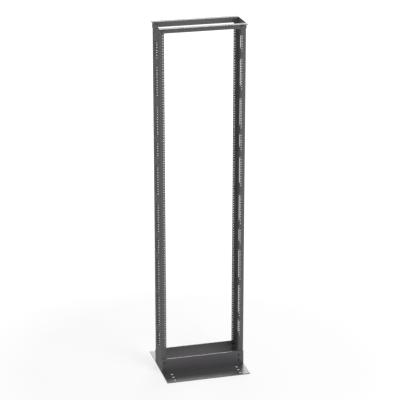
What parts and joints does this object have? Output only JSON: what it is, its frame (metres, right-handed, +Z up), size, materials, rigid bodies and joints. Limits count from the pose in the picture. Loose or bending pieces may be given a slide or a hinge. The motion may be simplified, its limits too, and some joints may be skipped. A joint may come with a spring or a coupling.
{
  "type": "two post open frame rack",
  "caption": "Tall open frame of channel uprights with hole columns and cable openings, tied by angles at the top and on the floor, for rack mounted equipment.",
  "frame": {"origin": "on the floor, in the middle of the footprint", "axes": "+X to the right seen from the front, +Y to the back, +Z up"},
  "size_m": [0.5144, 0.4572, 2.1336],
  "materials": {
    "upright_paint": "satin powder coat",
    "top_angle_paint": "satin powder coat",
    "base_angle_paint": "glossy powder coat",
    "bolt_steel": "black coated steel",
    "nut_steel": "black coated steel"
  },
  "bodies": {
    "root": {"upright_left": "upright_paint", "upright_right": "upright_paint", "top_angle_front": "top_angle_paint", "top_angle_rear": "top_angle_paint", "base_angle_front": "base_angle_paint", "base_angle_rear": "base_angle_paint", "base_bolts_front_left": "bolt_steel", "base_bolts_front_right": "bolt_steel", "base_bolts_rear_left": "bolt_steel", "base_bolts_rear_right": "bolt_steel", "base_nuts_front_left": "nut_steel", "base_nuts_front_right": "nut_steel", "base_nuts_rear_left": "nut_steel", "base_nuts_rear_right": "nut_steel", "top_bolt_front_left": "bolt_steel", "top_bolt_front_right": "bolt_steel", "top_bolt_rear_left": "bolt_steel", "top_bolt_rear_right": "bolt_steel", "top_nut_front_left": "nut_steel", "top_nut_front_right": "nut_steel", "top_nut_rear_left": "nut_steel", "top_nut_rear_right": "nut_steel"}
  },
  "joints": []
}
